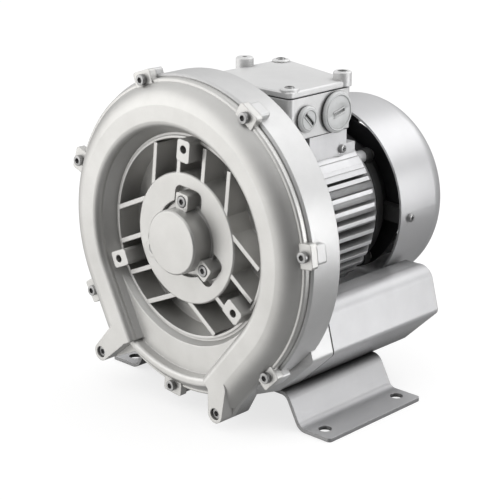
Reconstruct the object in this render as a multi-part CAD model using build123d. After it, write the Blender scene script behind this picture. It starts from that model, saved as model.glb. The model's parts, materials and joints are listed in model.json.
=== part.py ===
from build123d import *
import os
from math import cos, radians, sin, sqrt

# Side channel blower with a flange-mounted fan-cooled motor.
# X points right seen from the front, Y runs along the motor axis towards the fan, Z is up.
# The origin is the middle of the four foot holes, on the plane that the foot stands on.
# Lengths are in millimetres and angles in degrees, measured from +X towards +Z.

# Fits
running_gap = 0.8
hole_gap = 0.4
seal_play = 0.05
gasket = 1.0
gasket_inset = 1.5
gasket_width = 2.0

# Screw heads, as multiples of the radius of the shank
head_ratio = 1.65
screw_tip_gap = 1.0
hex_ratio = 1.85
head_height_ratio = 1.4

# Foot bracket, a hat section of folded sheet
foot_spacing_x = 205.0
foot_spacing_y = 83.0
foot_hole_radius = 5.0
foot_edge = 14.5
foot_end = 11.5
foot_sheet = 3.0
foot_wall_run = 1.7
foot_rise = 24.0
foot_top_half = 74.0
foot_bend_half = 87.0
foot_bend = 7.0
foot_corner = 3.0
foot_bolt_x = 57.0
foot_bolt_y = 39.5
foot_bolt_radius = 3.0
foot_bolt_grip = 7.0
foot_boss_radius = 6.5
foot_boss_height = 9.0
foot_notch_half = 56.0
foot_notch_y = -40.5
foot_notch_bow = 6.5

# Blower head, a casing in two halves that meet at the parting plane
parting_y = -78.0
cover_turn = -6.4
cover_flange = 5.0
cover_step = 2.5
ring_wall = 7.2
ring_clearance = 14.5
ring_length = 30.0
ring_round = 1.5
casting_wall = 4.0
web_wall = 4.0
back_wall = 7.4
cover_recess = 17.0
cell_radius = 72.5
ledge_radius = 74.0
ledge_width = 4.0
ledge_foot = 3.0
lip_width = 2.0
lip_rise = 1.5
crest_inner_half = 9.75
crest_outer_half = 2.0
crest_height = 16.0
band_inner_half = 14.75
band_knee = (1.4, 2.2)
band_inner_height = 10.0
shoulder_width = 5.5
shoulder_height = 11.5
flank_step = 2.5
bead_width = 13.5
bead_slope = 6.5
bead_height = 7.0
bead_round = 3.0
bead_lean = 1.5

# Side channel, the groove that the blades pass in both halves
channel_depth = 12.0
channel_end_angle = 33.6
channel_leg_length = 58.0
rear_channel_leg_length = 30.0

# Impeller
impeller_radius = 112.5
blade_inner_radius = 84.0
impeller_width = 22.0
impeller_web = 5.0
impeller_hub_radius = 16.0
impeller_hub_length = 12.0
pocket_depth = 8.5
pocket_count = 30
blade_thickness = 2.4
pocket_rim = 1.5

# Front hub with a lobed pocket, and the cap that sits in it over the bearing
hub_radius = 49.5
hub_rise = 3.7
dish_radius = 29.0
dish_depth = 5.7
dish_lobe_reach = 39.0
dish_lobe_width = 27.0
dish_lobe_corner = 6.0
cap_side_gap = 1.4
cap_radius = 24.2
cap_face_y = -96.3
cap_wall = 3.0
cap_screw_circle = 30.0
cap_boss_width = 12.5
cap_boss_corner = 2.0
cap_chamfer = 1.2
cap_boss_height = 9.0
cap_screw_sink = 3.0
cap_screw_radius = 2.5
cap_screw_grip = 8.0
group_angles = (90.0, 210.0, 330.0)
rib_offsets = (-37.5, -12.5, 12.5, 37.5)
rib_thickness = 3.6
rib_rise = 3.0
lug_circle = 70.0
lug_inner_radius = 60.5
lug_outer_radius = 77.0
lug_width = 12.5
lug_corner = 2.5
lug_rise = 12.0
lug_hole_radius = 3.0
lug_hole_depth = 14.0

# Cover screws in seven ears, and one screw in each leg
ear_count = 7
ear_screw_offset = 1.0
ear_rise = 5.0
ear_root_depth = 4.0
cover_ear_width = 18.0
ring_ear_width = 14.0
cover_ear_length = 6.0
ring_ear_length = 9.0
cover_screw_radius = 2.5
cover_screw_grip = 8.0
leg_lug_radius = 7.0
leg_tip_radius = 9.0
leg_tip_reach = 50.0
leg_screw_sink = 5.0
leg_pad_rear = 14.0
left_leg_screw = (-83.5, 27.0)
right_leg_screw = (41.5, 12.5)

# Ducts that lead from the channel ends to the silencers
outer_mouth_scale = 0.52
inner_mouth_scale = 0.44
duct_mouth_reach = 44.0
duct_mouth_length = 6.0
duct_flare_y = -54.0
casting_rear_y = -31.5

# Silencers, a pair of cast boxes under the motor
silencer_rear_y = 93.4
silencer_wall = 3.5
silencer_inner_x = 38.0
silencer_bottom_x = 69.0
silencer_crease = (101.0, 57.5)
silencer_shoulder = (94.0, 84.0)
silencer_top = (80.0, 92.3)
silencer_crown_inset = (4.0, 2.5)
silencer_corner = 5.0
cradle_gap = 2.5
foam_bore_radius = 17.0
foam_end_gap = 2.0
silencer_screws = ((86.0, 82.5), (45.5, 34.5))
silencer_screw_radius = 2.5
silencer_screw_grip = 9.0
silencer_boss_radius = 5.5
silencer_boss_start = 8.0

# Ports in the rear walls of the silencers, for a parallel pipe thread of 1 1/4 inch
port_center = (68.0, 58.0)
port_thread_radius = 19.5
port_neck_radius = 22.8
port_wall = 6.0
port_length = 16.0
port_rise = 2.0

# Motor
frame_rear_y = 68.0
core_radius = 52.0
frame_radius = 57.0
fin_radius = 66.0
fin_count = 40
fin_thickness = 3.2
fin_taper_y = 54.0
saddle_radius = 65.0
saddle_height = 33.0
spigot_wall = 5.0
spigot_length = 4.0
core_front_y = -18.0
core_length = 62.0
air_gap = 0.5
rotor_radius = 29.5
end_ring_length = 5.0
end_ring_insets = (11.0, 1.5)
slot_count = 18
slot_depth = 13.0
slot_width = 5.2
tooth_lip = 2.5
winding_overhang = 15.0
winding_round = 4.0
winding_inner_radius = 33.5
winding_outer_radius = 48.5

# Shaft and its deep groove ball bearings of 17 x 40 x 12
journal_radius = 8.5
bearing_radius = 20.0
bearing_width = 12.0
front_bearing_y = -74.0
rear_bearing_y = 63.0
impeller_seat_radius = 10.0
core_seat_radius = 13.0
fan_seat_radius = 7.0
shaft_end_margin = 2.0
ball_radius = 3.3
ball_gap = 0.1
ball_count = 7
ball_circle = 14.25
race_lip = 2.6
cage_thickness = 1.6
cage_width = 8.4
shaft_nut_height = 5.0
shaft_nut_radius = 11.0
spacer_radius = 11.3
key_width = 5.0
key_height = 4.0
key_rise = 2.0
seal_radius = 18.0
seal_width = 6.0
preload_washer = 1.2
preload_washer_width = 4.0

# Rear end shield, cooling fan and cowl
shield_radius = 58.0
shield_thickness = 7.0
shield_boss_wall = 6.0
shield_tie_radius = 6.0
shield_collar_radius = 50.0
shield_collar_wall = 5.0
shield_arm_width = 12.0
shield_arm_height = 9.0
tie_screw_radius = 2.5
tie_screw_count = 4
tie_screw_angle = 45.0
tie_screw_grip = 6.0
tie_circle = 58.0
tie_boss_radius = 5.0
cowl_radius = 77.0
cowl_front_y = 73.6
cowl_rear_y = 136.0
cowl_wall = 1.8
cowl_rear_round = 20.0
cowl_screw_count = 4
cowl_screw_angle = -3.0
cowl_screw_y = 84.0
cowl_screw_radius = 2.0
cowl_screw_grip = 8.0
grille_rings = 4
grille_sectors = 6
grille_slot = 6.0
grille_bar = 4.5
grille_hub_radius = 13.0
grille_arm = 6.0
fan_y = 91.0
fan_radius = 62.0
fan_disc = 2.5
fan_blade_width = 18.0
fan_blade_count = 8
fan_blade_thickness = 2.2
fan_hub_radius = 13.0
fan_blade_inner_radius = 26.0
fan_clip = 1.2
fan_clip_groove = 0.8
fan_clip_rise = 2.6
fan_clip_mouth = (8.0, 5.0)

# Terminal box, with a slanted rear side
box_half_width = 46.0
box_front_y = -20.0
box_right_rear_y = 47.4
box_left_rear_y = 74.0
box_floor_rise = 68.5
box_height = 31.0
box_wall = 3.0
box_corner = 4.0
box_gasket = 1.2
box_post_radius = 5.0
box_post_inset = 7.0
box_right_post_shift = (2.0, 3.0)
box_left_post_ratio = 1.6
lid_thickness = 4.5
lid_lug_radius = 7.0
lid_lug_rises = (2.0, 2.0, 6.5, 2.0)
side_lug_place = (-48.0, 31.0)
side_lug_rise = 7.0
lid_screw_radius = 2.0
lid_screw_grip = 10.0
box_screw_x = 30.0
box_screw_y = 36.0
box_screw_radius = 2.0
box_screw_grip = 8.0
wire_hole_radius = 11.0
wire_hole_y = 26.0
pedestal_front_y = 4.0
pedestal_rear_y = 46.0
pedestal_half_width = 44.0
pedestal_foot_rise = 41.0
pedestal_lug_reach = 10.0
pedestal_lug_rise = 45.0
pedestal_lug_height = 11.0
pedestal_lug_width = 8.0
small_plug_y = -3.4
small_plug_radius = 9.5
large_plug_y = 29.5
large_plug_radius = 15.5
plug_rise = 15.0
plug_head = 3.0
plug_neck_ratio = 0.72
plug_neck_length = 6.0
plug_chamfer = 0.8
plug_seal_inset = 0.6
plug_seal = 1.2
plug_slot_width = 2.0
plug_slot_depth = 1.4
plug_slot_ratio = 1.3
small_plug_slot_angle = -45.0
large_plug_slot_angle = 25.0
block_length = 44.0
block_width = 26.0
block_height = 9.0
block_y = 2.0
stud_radius = 2.0
stud_height = 9.0
stud_pitch_x = 14.0
stud_pitch_y = 12.0
stud_nut_radius = 3.6
stud_nut_height = 3.0
earth_screw_y = 40.0
earth_screw_rise = 53.0
earth_screw_radius = 2.0
earth_screw_grip = 6.0

# Places that follow from the sizes above
motor_axis = Axis((0, 0, 0), (0, -1, 0))
chamber_radius = impeller_radius + running_gap
chamber_inner_radius = blade_inner_radius - running_gap
channel_radius = (impeller_radius + blade_inner_radius) / 2
ring_radius = chamber_radius + ring_wall
axis_height = ring_radius + ring_clearance
cover_radius = ring_radius - cover_step
flank_radius = cover_radius - flank_step
shoulder_radius = flank_radius - shoulder_width
crest_inner_radius = channel_radius - crest_inner_half
crest_outer_radius = channel_radius + crest_outer_half
band_inner_radius = channel_radius - band_inner_half
ledge_outer_radius = ledge_radius + ledge_width
ear_circle = cover_radius + ear_screw_offset
ear_reach = ring_radius + ear_rise
ear_root_radius = cover_radius - ear_root_depth
web_front_y = parting_y + cover_recess
web_rear_y = web_front_y + web_wall
flange_front_y = parting_y - cover_flange
ring_rear_y = parting_y + ring_length
impeller_front_y = parting_y + running_gap
impeller_rear_y = impeller_front_y + impeller_width
rear_parting_y = impeller_rear_y + running_gap
impeller_hub_y = web_rear_y + running_gap
impeller_back_y = impeller_hub_y + impeller_web
impeller_shoulder_y = impeller_hub_y + impeller_hub_length
back_plate_y = impeller_back_y + running_gap
back_plate_rear_y = back_plate_y + back_wall
frame_front_y = back_plate_rear_y
drum_radius = blade_inner_radius - casting_wall - running_gap
hub_face_y = parting_y - hub_rise
dish_y = hub_face_y + dish_depth
cap_flange_y = dish_y - cap_wall
cap_head_y = cap_flange_y - cap_boss_height + cap_screw_sink
leg_head_y = parting_y - crest_height + leg_screw_sink
front_bearing_rear_y = front_bearing_y + bearing_width
rear_bearing_rear_y = rear_bearing_y + bearing_width
seal_rear_y = back_plate_rear_y + seal_width
core_rear_y = core_front_y + core_length
foot_top_z = foot_rise + foot_sheet
silencer_front_y = casting_rear_y + gasket
port_wall_y = silencer_rear_y - port_wall
port_front_y = silencer_rear_y - port_length
shield_rear_y = frame_rear_y + shield_thickness
shield_boss_rear_y = rear_bearing_rear_y + preload_washer + casting_wall
arm_front_y = cowl_screw_y - shield_arm_height / 2
arm_rear_y = cowl_screw_y + shield_arm_height / 2
cowl_inner_radius = cowl_radius - cowl_wall
fan_rear_y = fan_y + fan_disc + fan_blade_width
box_floor_z = axis_height + box_floor_rise
box_rim_z = box_floor_z + box_height
lid_z = box_rim_z + gasket
lid_top_z = lid_z + lid_thickness
pedestal_foot_z = axis_height + pedestal_foot_rise
pedestal_top_z = box_floor_z - box_gasket
plug_z = box_floor_z + plug_rise
earth_screw_z = axis_height + earth_screw_rise
block_z = box_floor_z + box_wall


# Shapes about the motor axis or along it are drawn with the axis at zero height
def lifted(shape):
    return Pos(0, 0, axis_height) * shape


def turned(angle, shape):
    return Rot(0, -angle, 0) * shape


def around(count, start, shape):
    return [turned(start + index * 360 / count, shape) for index in range(count)]


def polar(radius, angle):
    return radius * cos(radians(angle)), radius * sin(radians(angle))


def outline(start, *steps):
    # closed face; a step is a corner, or a pair of a point on an arc and the arc's end
    edges = []
    here = start
    for step in (*steps, start):
        if isinstance(step[0], tuple):
            edges.append(ThreePointArc(here, step[0], step[1]))
            here = step[1]
        elif step != here:
            edges.append(Line(here, step))
            here = step
    return make_face(edges)


def spun(profile, start=0.0, sweep=360.0):
    return turned(start, revolve(profile, motor_axis, sweep))


def slab(sketch, near, far):
    # a sketch in x and z, made solid from y near to y far
    return extrude(Plane.XZ.offset(-far) * sketch, far - near)


def disc(radius, near, far, x=0.0, z=0.0):
    return slab(Pos(x, z) * Circle(radius), near, far)


def tube(inner, outer, near, far, x=0.0, z=0.0):
    return slab(Pos(x, z) * (Circle(outer) - Circle(inner)), near, far)


def facing_front(x, y, z):
    return Plane(origin=(x, y, z), x_dir=(1, 0, 0), z_dir=(0, -1, 0))


def facing_rear(x, y, z):
    return Plane(origin=(x, y, z), x_dir=(-1, 0, 0), z_dir=(0, 1, 0))


def facing_right(x, y, z):
    return Plane(origin=(x, y, z), x_dir=(0, 1, 0), z_dir=(1, 0, 0))


def screw(radius, length):
    # round head; its underside is at the origin and the shank points down
    head = extrude(Circle(head_ratio * radius), head_height_ratio * radius)
    return head + extrude(Circle(radius), -length)


def hex_bolt(radius, length):
    head = extrude(RegularPolygon(hex_ratio * radius, 6), head_height_ratio * radius)
    return head + extrude(Circle(radius), -length)


def head_room(radius):
    # radius of a well that a screw's head sits in
    return head_ratio * radius + hole_gap


def side_of(shape, side):
    return mirror(shape, Plane.YZ) if side < 0 else shape


def group(shapes):
    return Compound(children=list(shapes))


# Section of the silencers, shared by the ducts that open into them
def silencer_sketch():
    crown = (silencer_shoulder[0] - silencer_crown_inset[0], silencer_top[1] - silencer_crown_inset[1])
    face = outline(
        (silencer_inner_x, foot_top_z),
        (silencer_bottom_x, foot_top_z),
        silencer_crease,
        silencer_shoulder,
        (crown, silencer_top),
        (silencer_inner_x, silencer_top[1]),
    )
    face = fillet(face.vertices().sort_by(Axis.X)[-1], silencer_corner)
    return face - Pos(0, axis_height) * Circle(cowl_radius + cradle_gap)


def silencer_inside():
    return offset(silencer_sketch(), -silencer_wall)


def channel_ends():
    # angles at which the round channel runs out into its right and left leg
    start = cover_turn - channel_end_angle
    return start, start + 180.0 + 2 * channel_end_angle


def leg_point(side, reach):
    # a point on the middle line of the right or left leg, and its distance from the round part
    right, left = channel_ends()
    angle = right if side > 0 else left
    x, z = polar(channel_radius, angle)
    step_x, step_z = polar(reach, angle - side * 90)
    return x + step_x, z + step_z + axis_height


def duct_mouth(sketch, side, size):
    # the same section, drawn smaller about the mouth's centre on the leg
    box = silencer_sketch().bounding_box()
    middle_x = (box.min.X + box.max.X) / 2
    middle_z = (box.min.Y + box.max.Y) / 2
    x, z = leg_point(side, duct_mouth_reach)
    small = scale(sketch, size)
    return Pos(abs(x) - size * middle_x, z - size * middle_z) * small


def duct(sketch, side, size, near, far):
    # widens from the mouth beside the channel to the silencer's section
    mouth = duct_mouth(sketch, side, size)
    flare_start = parting_y + duct_mouth_length
    flare = loft(
        [Plane.XZ.offset(-flare_start) * mouth, Plane.XZ.offset(-duct_flare_y) * sketch],
        ruled=True,
    )
    body = slab(mouth, near, flare_start) + flare + slab(sketch, duct_flare_y, far)
    return side_of(body, side)


def both_ducts(sketch, size, near, far):
    return [duct(sketch, side, size, near, far) for side in (1, -1)]


# Screw ears round the casing, and pads with lugs round the duct mouths
def ear_angles():
    first = 270.0 + cover_turn
    return [first + index * 360 / ear_count for index in range(ear_count)]


def ears(width, near, far):
    depth = ear_reach - ear_root_radius
    block = slab(Pos(ear_reach - depth / 2, 0) * RectangleRounded(depth, width, 2.0), near, far)
    return [turned(angle, block) for angle in ear_angles()]


def ear_places():
    return [polar(ear_circle, angle) for angle in ear_angles()]


def leg_screw_places():
    return left_leg_screw, right_leg_screw


def leg_pads(near, far):
    # plates round the duct mouths that reach to the screws
    pads = []
    for side, lug in ((-1, left_leg_screw), (1, right_leg_screw)):
        sketch = duct_mouth(silencer_sketch(), side, outer_mouth_scale)
        lug_disc = Pos(side * lug[0], lug[1]) * Circle(leg_lug_radius)
        pads.append(side_of(slab(make_hull((sketch + lug_disc).edges()), near, far), side))
    return pads


def leg_tips():
    # each leg of the cover narrows from its crest to the lug of its screw
    tips = []
    for side, lug in ((-1, left_leg_screw), (1, right_leg_screw)):
        tip = Pos(*leg_point(side, leg_tip_reach)) * Circle(leg_tip_radius)
        tip += Pos(*lug) * Circle(leg_lug_radius)
        tips.append(slab(make_hull(tip.edges()), parting_y - crest_height, flange_front_y + 1.0))
    return tips


# Channel sections, which turn round the axis and run out into two straight legs
def band_section():
    crest_y = parting_y - crest_height
    knee = (band_inner_radius + band_knee[0], crest_y + band_knee[1])
    return outline(
        (ledge_outer_radius, parting_y),
        (band_inner_radius, parting_y - band_inner_height),
        (knee, (crest_inner_radius, crest_y)),
        (crest_outer_radius, crest_y),
        ((shoulder_radius, parting_y - shoulder_height), (flank_radius, flange_front_y)),
        (flank_radius, parting_y),
    )


def groove_section(mouth_y, depth):
    return outline(
        (channel_radius - channel_depth, mouth_y),
        ((channel_radius, mouth_y + depth), (channel_radius + channel_depth, mouth_y)),
    )


def channel(section, leg_length):
    start, end = channel_ends()
    right_leg = turned(start, extrude(section, -leg_length))
    left_leg = turned(end, extrude(section, leg_length))
    return spun(section, start, end - start) + right_leg + left_leg


# Cover of the blower
def cover_disc():
    profile = outline(
        (bearing_radius, hub_face_y),
        (hub_radius - 1.0, hub_face_y),
        (hub_radius, hub_face_y + 1.0),
        (hub_radius, web_front_y),
        (cell_radius, web_front_y),
        (ledge_radius, parting_y - lip_rise),
        (ledge_radius + lip_width, parting_y - lip_rise),
        (ledge_radius + lip_width, parting_y),
        (ledge_outer_radius, parting_y),
        (ledge_outer_radius + ledge_foot, flange_front_y),
        (cover_radius - 1.0, flange_front_y),
        (cover_radius, flange_front_y + 1.0),
        (cover_radius, parting_y),
        (drum_radius, parting_y),
        (drum_radius, web_rear_y),
        (spacer_radius + running_gap, web_rear_y),
        (spacer_radius + running_gap, front_bearing_rear_y),
        (bearing_radius, front_bearing_rear_y),
    )
    return spun(profile)


def outer_bead():
    # rounded rim that closes the plate between the two legs
    inner = flank_radius - bead_width
    top_y = flange_front_y - bead_height
    section = outline(
        (inner, flange_front_y + 1.0),
        (inner + bead_lean, top_y),
        (flank_radius - bead_slope, top_y),
        (flank_radius, flange_front_y),
        (flank_radius, flange_front_y + 1.0),
    )
    return spun(fillet(section.vertices().sort_by(Axis.Y)[:2], bead_round))


def cover_ribs():
    ribs = []
    for angle in group_angles:
        for side in rib_offsets:
            near = sqrt(hub_radius**2 - side**2) - 2.0
            far = sqrt(cell_radius**2 - side**2) + 1.0
            sketch = Pos((near + far) / 2, side) * Rectangle(far - near, rib_thickness)
            rib = slab(sketch, parting_y - rib_rise, web_rear_y - 1.0)
            ribs.append(turned(angle + cover_turn, rib))
    return ribs


def cover_lugs():
    lugs = []
    length = lug_outer_radius - lug_inner_radius
    block = Pos(lug_inner_radius + length / 2, 0) * RectangleRounded(length, lug_width, lug_corner)
    for angle in group_angles:
        lugs.append(turned(angle + cover_turn, slab(block, parting_y - lug_rise, web_rear_y - 1.0)))
    return lugs


def cap_pocket():
    # round the bearing cap, with a lobe for each of its lugs
    sketch = Sketch() + Circle(dish_radius)
    lobe = Pos(dish_lobe_reach / 2, 0) * RectangleRounded(dish_lobe_reach, dish_lobe_width, dish_lobe_corner)
    sketch += [Rot(0, 0, angle + cover_turn) * lobe for angle in group_angles]
    return slab(sketch, hub_face_y, dish_y)


def housing_cover():
    ear_blocks = ears(cover_ear_width, parting_y - cover_ear_length, parting_y)
    body = cover_disc() + outer_bead() + channel(band_section(), channel_leg_length)
    body = lifted(body + cover_ribs() + cover_lugs() + ear_blocks)
    body += leg_pads(flange_front_y, parting_y)
    body += leg_tips()
    body -= lifted(channel(groove_section(parting_y, -channel_depth), channel_leg_length))
    body -= lifted(cap_pocket())
    for angle in group_angles:
        x, z = polar(lug_circle, angle + cover_turn)
        lug_y = parting_y - lug_rise
        body -= lifted(disc(lug_hole_radius, lug_y, lug_y + lug_hole_depth, x, z))
        x, z = polar(cap_screw_circle, angle + cover_turn)
        body -= lifted(disc(cap_screw_radius, dish_y, dish_y + cap_screw_grip, x, z))
    for x, z in ear_places():
        head_y = parting_y - cover_ear_length
        body -= lifted(disc(cover_screw_radius + hole_gap, cap_face_y, parting_y, x, z))
        body -= lifted(disc(head_room(cover_screw_radius), cap_face_y, head_y, x, z))
    for x, z in leg_screw_places():
        body -= disc(cover_screw_radius + hole_gap, cap_face_y, parting_y, x, z)
        body -= disc(head_room(cover_screw_radius), cap_face_y, leg_head_y, x, z)
    return body


# Cap over the front bearing
def cap_screw_places():
    return [polar(cap_screw_circle, angle + cover_turn) for angle in group_angles]


def bearing_cap():
    cup = disc(cap_radius, cap_face_y, dish_y)
    cup = chamfer(cup.edges().sort_by(Axis.Y)[0], cap_chamfer)
    body = cup + disc(dish_radius - cap_side_gap, cap_flange_y, dish_y)
    boss = slab(
        Pos(cap_screw_circle, 0) * RectangleRounded(cap_boss_width, cap_boss_width, cap_boss_corner),
        cap_flange_y - cap_boss_height,
        dish_y,
    )
    body += [turned(angle + cover_turn, boss) for angle in group_angles]
    body -= disc(cap_radius - cap_wall, cap_face_y + cap_wall, dish_y)
    body += tube(bearing_radius - cap_wall, bearing_radius, cap_face_y + cap_wall, front_bearing_y)
    for x, z in cap_screw_places():
        body -= disc(cap_screw_radius + hole_gap, cap_face_y, dish_y, x, z)
        body -= disc(head_room(cap_screw_radius), cap_face_y, cap_head_y, x, z)
    return lifted(body)


def cap_screws():
    shape = screw(cap_screw_radius, dish_y + cap_screw_grip - screw_tip_gap - cap_head_y)
    return group(facing_front(x, cap_head_y, z + axis_height) * shape for x, z in cap_screw_places())


# Seal and screws between the two casing halves
def cover_gasket():
    outer = cover_radius - gasket_inset
    return lifted(tube(outer - gasket_width, outer, parting_y, parting_y + gasket))


def cover_screws():
    head_y = parting_y - cover_ear_length
    shape = screw(cover_screw_radius, cover_ear_length + cover_screw_grip)
    return group(facing_front(x, head_y, z + axis_height) * shape for x, z in ear_places())


def leg_screws():
    shape = screw(cover_screw_radius, parting_y + cover_screw_grip - leg_head_y)
    return group(facing_front(x, leg_head_y, z) * shape for x, z in leg_screw_places())


# Casing half that holds the impeller chamber, the ducts and the seat of the motor
def casing_ring():
    bulge = channel_depth + casting_wall
    spigot_radius = core_radius - hole_gap
    seal_wall = seal_radius + casting_wall
    return spun(outline(
        (chamber_radius, parting_y),
        (ring_radius - ring_round, parting_y),
        (ring_radius, parting_y + ring_round),
        (ring_radius, ring_rear_y - ring_round),
        (ring_radius - ring_round, ring_rear_y),
        (channel_radius + bulge, ring_rear_y),
        ((channel_radius, rear_parting_y + bulge), (channel_radius - bulge, back_plate_rear_y)),
        (spigot_radius, back_plate_rear_y),
        (spigot_radius, back_plate_rear_y + spigot_length),
        (spigot_radius - spigot_wall, back_plate_rear_y + spigot_length),
        (spigot_radius - spigot_wall, back_plate_rear_y),
        (seal_wall, back_plate_rear_y),
        (seal_wall, seal_rear_y),
        (seal_radius, seal_rear_y),
        (seal_radius, back_plate_rear_y),
        (impeller_hub_radius + running_gap, back_plate_rear_y),
        (impeller_hub_radius + running_gap, back_plate_y),
        (chamber_inner_radius, back_plate_y),
        (chamber_inner_radius, rear_parting_y),
        (chamber_radius, rear_parting_y),
    ))


def foot_bosses(y):
    # solid stand-offs that take the foot bolts
    post = extrude(Circle(foot_boss_radius), foot_boss_height)
    return [Pos(side * foot_bolt_x, y, foot_top_z) * post for side in (-1, 1)]


def foot_bores(y):
    bore = extrude(Circle(foot_bolt_radius), foot_bolt_grip)
    return [Pos(side * foot_bolt_x, y, foot_top_z) * bore for side in (-1, 1)]


def silencer_screw_places():
    return [(side * x, z) for side in (-1, 1) for x, z in silencer_screws]


def tie_places():
    count = tie_screw_count
    return [polar(tie_circle, tie_screw_angle + index * 360 / count) for index in range(count)]


def impeller_housing():
    body = lifted(casing_ring() + ears(ring_ear_width, parting_y, parting_y + ring_ear_length))
    body += leg_pads(parting_y, parting_y + leg_pad_rear)
    for shape in both_ducts(silencer_sketch(), outer_mouth_scale, parting_y, casting_rear_y):
        body += shape
    body -= lifted(disc(chamber_radius, parting_y, rear_parting_y))
    body -= lifted(disc(chamber_inner_radius, rear_parting_y, back_plate_y))
    body -= lifted(channel(groove_section(rear_parting_y, channel_depth), rear_channel_leg_length))
    core = lifted(disc(blade_inner_radius + casting_wall, rear_parting_y, back_plate_rear_y))
    for shape in both_ducts(silencer_inside(), inner_mouth_scale, parting_y, casting_rear_y):
        body -= shape - core
    body += foot_bosses(-foot_bolt_y)
    body -= foot_bores(-foot_bolt_y)
    for x, z in silencer_screw_places():
        body += disc(silencer_boss_radius, duct_flare_y + silencer_boss_start, casting_rear_y, x, z)
        body -= disc(silencer_screw_radius, casting_rear_y - silencer_screw_grip, casting_rear_y, x, z)
    step = cover_radius - gasket_inset
    body -= lifted(tube(step - gasket_width, step, parting_y, parting_y + gasket))
    for x, z in ear_places():
        body -= lifted(disc(cover_screw_radius, parting_y, parting_y + cover_screw_grip, x, z))
    for x, z in leg_screw_places():
        body -= disc(cover_screw_radius, parting_y, parting_y + cover_screw_grip, x, z)
    for x, z in tie_places():
        bore_y = back_plate_rear_y - tie_screw_grip
        body -= lifted(disc(tie_screw_radius, bore_y, back_plate_rear_y, x, z))
    return body


# Impeller with two rows of pockets between its blades
def pocket(face_y, depth):
    rim = impeller_radius - pocket_rim
    middle = (rim + blade_inner_radius + pocket_rim) / 2
    section = outline(
        (blade_inner_radius + pocket_rim, face_y),
        ((middle, face_y + depth), (rim, face_y)),
    )
    blade_angle = blade_thickness / middle * 180 / 3.1416
    return spun(section, blade_angle / 2, 360 / pocket_count - blade_angle)


def impeller():
    profile = outline(
        (impeller_seat_radius, impeller_hub_y),
        (blade_inner_radius, impeller_hub_y),
        (blade_inner_radius, impeller_front_y),
        (impeller_radius, impeller_front_y),
        (impeller_radius, impeller_rear_y),
        (chamber_inner_radius - running_gap, impeller_rear_y),
        (chamber_inner_radius - running_gap, impeller_back_y),
        (impeller_hub_radius, impeller_back_y),
        (impeller_hub_radius, impeller_shoulder_y),
        (impeller_seat_radius, impeller_shoulder_y),
    )
    body = spun(profile)
    body -= around(pocket_count, 0, pocket(impeller_front_y, pocket_depth))
    body -= around(pocket_count, 180 / pocket_count, pocket(impeller_rear_y, -pocket_depth))
    keyway = Pos(0, impeller_seat_radius) * Rectangle(key_width, 2 * key_rise)
    body -= slab(keyway, impeller_hub_y, impeller_shoulder_y)
    return lifted(body)


def impeller_key():
    center = impeller_seat_radius + key_rise - key_height / 2
    sketch = Pos(0, center) * Rectangle(key_width, key_height)
    return lifted(slab(sketch, impeller_hub_y, impeller_shoulder_y))


def impeller_spacer():
    return lifted(tube(journal_radius, spacer_radius, front_bearing_rear_y, impeller_hub_y))


def shaft_nut():
    sketch = RegularPolygon(shaft_nut_radius, 6) - Circle(journal_radius)
    return lifted(slab(sketch, front_bearing_y - shaft_nut_height, front_bearing_y))


# Shaft, stepped down towards both ends
def shaft():
    front_end = front_bearing_y - shaft_nut_height - shaft_end_margin
    rear_end = fan_rear_y + shaft_end_margin
    steps = [
        (journal_radius, front_end, impeller_hub_y),
        (impeller_seat_radius, impeller_hub_y, impeller_shoulder_y),
        (core_seat_radius, impeller_shoulder_y, rear_bearing_y),
        (journal_radius, rear_bearing_y, fan_y - shaft_end_margin),
        (fan_seat_radius, fan_y - shaft_end_margin, rear_end),
    ]
    body = Part() + [disc(radius, near, far) for radius, near, far in steps]
    keyway = Pos(0, impeller_seat_radius) * Rectangle(key_width, 2 * (key_height - key_rise))
    body -= slab(keyway, impeller_hub_y, impeller_shoulder_y)
    body -= tube(fan_seat_radius - fan_clip_groove, fan_seat_radius, fan_clip_y(), fan_clip_y() + fan_clip)
    return lifted(body)


def shaft_seal():
    bore = core_seat_radius + seal_play
    return lifted(tube(bore, seal_radius, back_plate_rear_y, seal_rear_y))


# Ball bearings, built at the front and moved to their place
def race(inner, outer):
    body = tube(inner, outer, 0, bearing_width)
    middle = bearing_width / 2
    groove = Pos(ball_circle, middle) * Circle(ball_radius + ball_gap)
    return body - revolve(groove, motor_axis)


def bearing_inner(y):
    return lifted(Pos(0, y, 0) * race(journal_radius, ball_circle - race_lip))


def bearing_outer(y):
    return lifted(Pos(0, y, 0) * race(ball_circle + race_lip, bearing_radius))


def ball_set():
    ball = Pos(ball_circle, bearing_width / 2, 0) * Sphere(ball_radius)
    return around(ball_count, 0, ball)


def bearing_balls(y):
    return group(lifted(Pos(0, y, 0) * ball) for ball in ball_set())


def bearing_cage(y):
    near = (bearing_width - cage_width) / 2
    ring = tube(
        ball_circle - cage_thickness / 2, ball_circle + cage_thickness / 2, near, near + cage_width)
    hole = Rot(0, 90, 0) * Cylinder(ball_radius + ball_gap, 8 * cage_thickness)
    holes = around(ball_count, 0, Pos(ball_circle, bearing_width / 2, 0) * hole)
    return lifted(Pos(0, y, 0) * (ring - holes))


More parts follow.
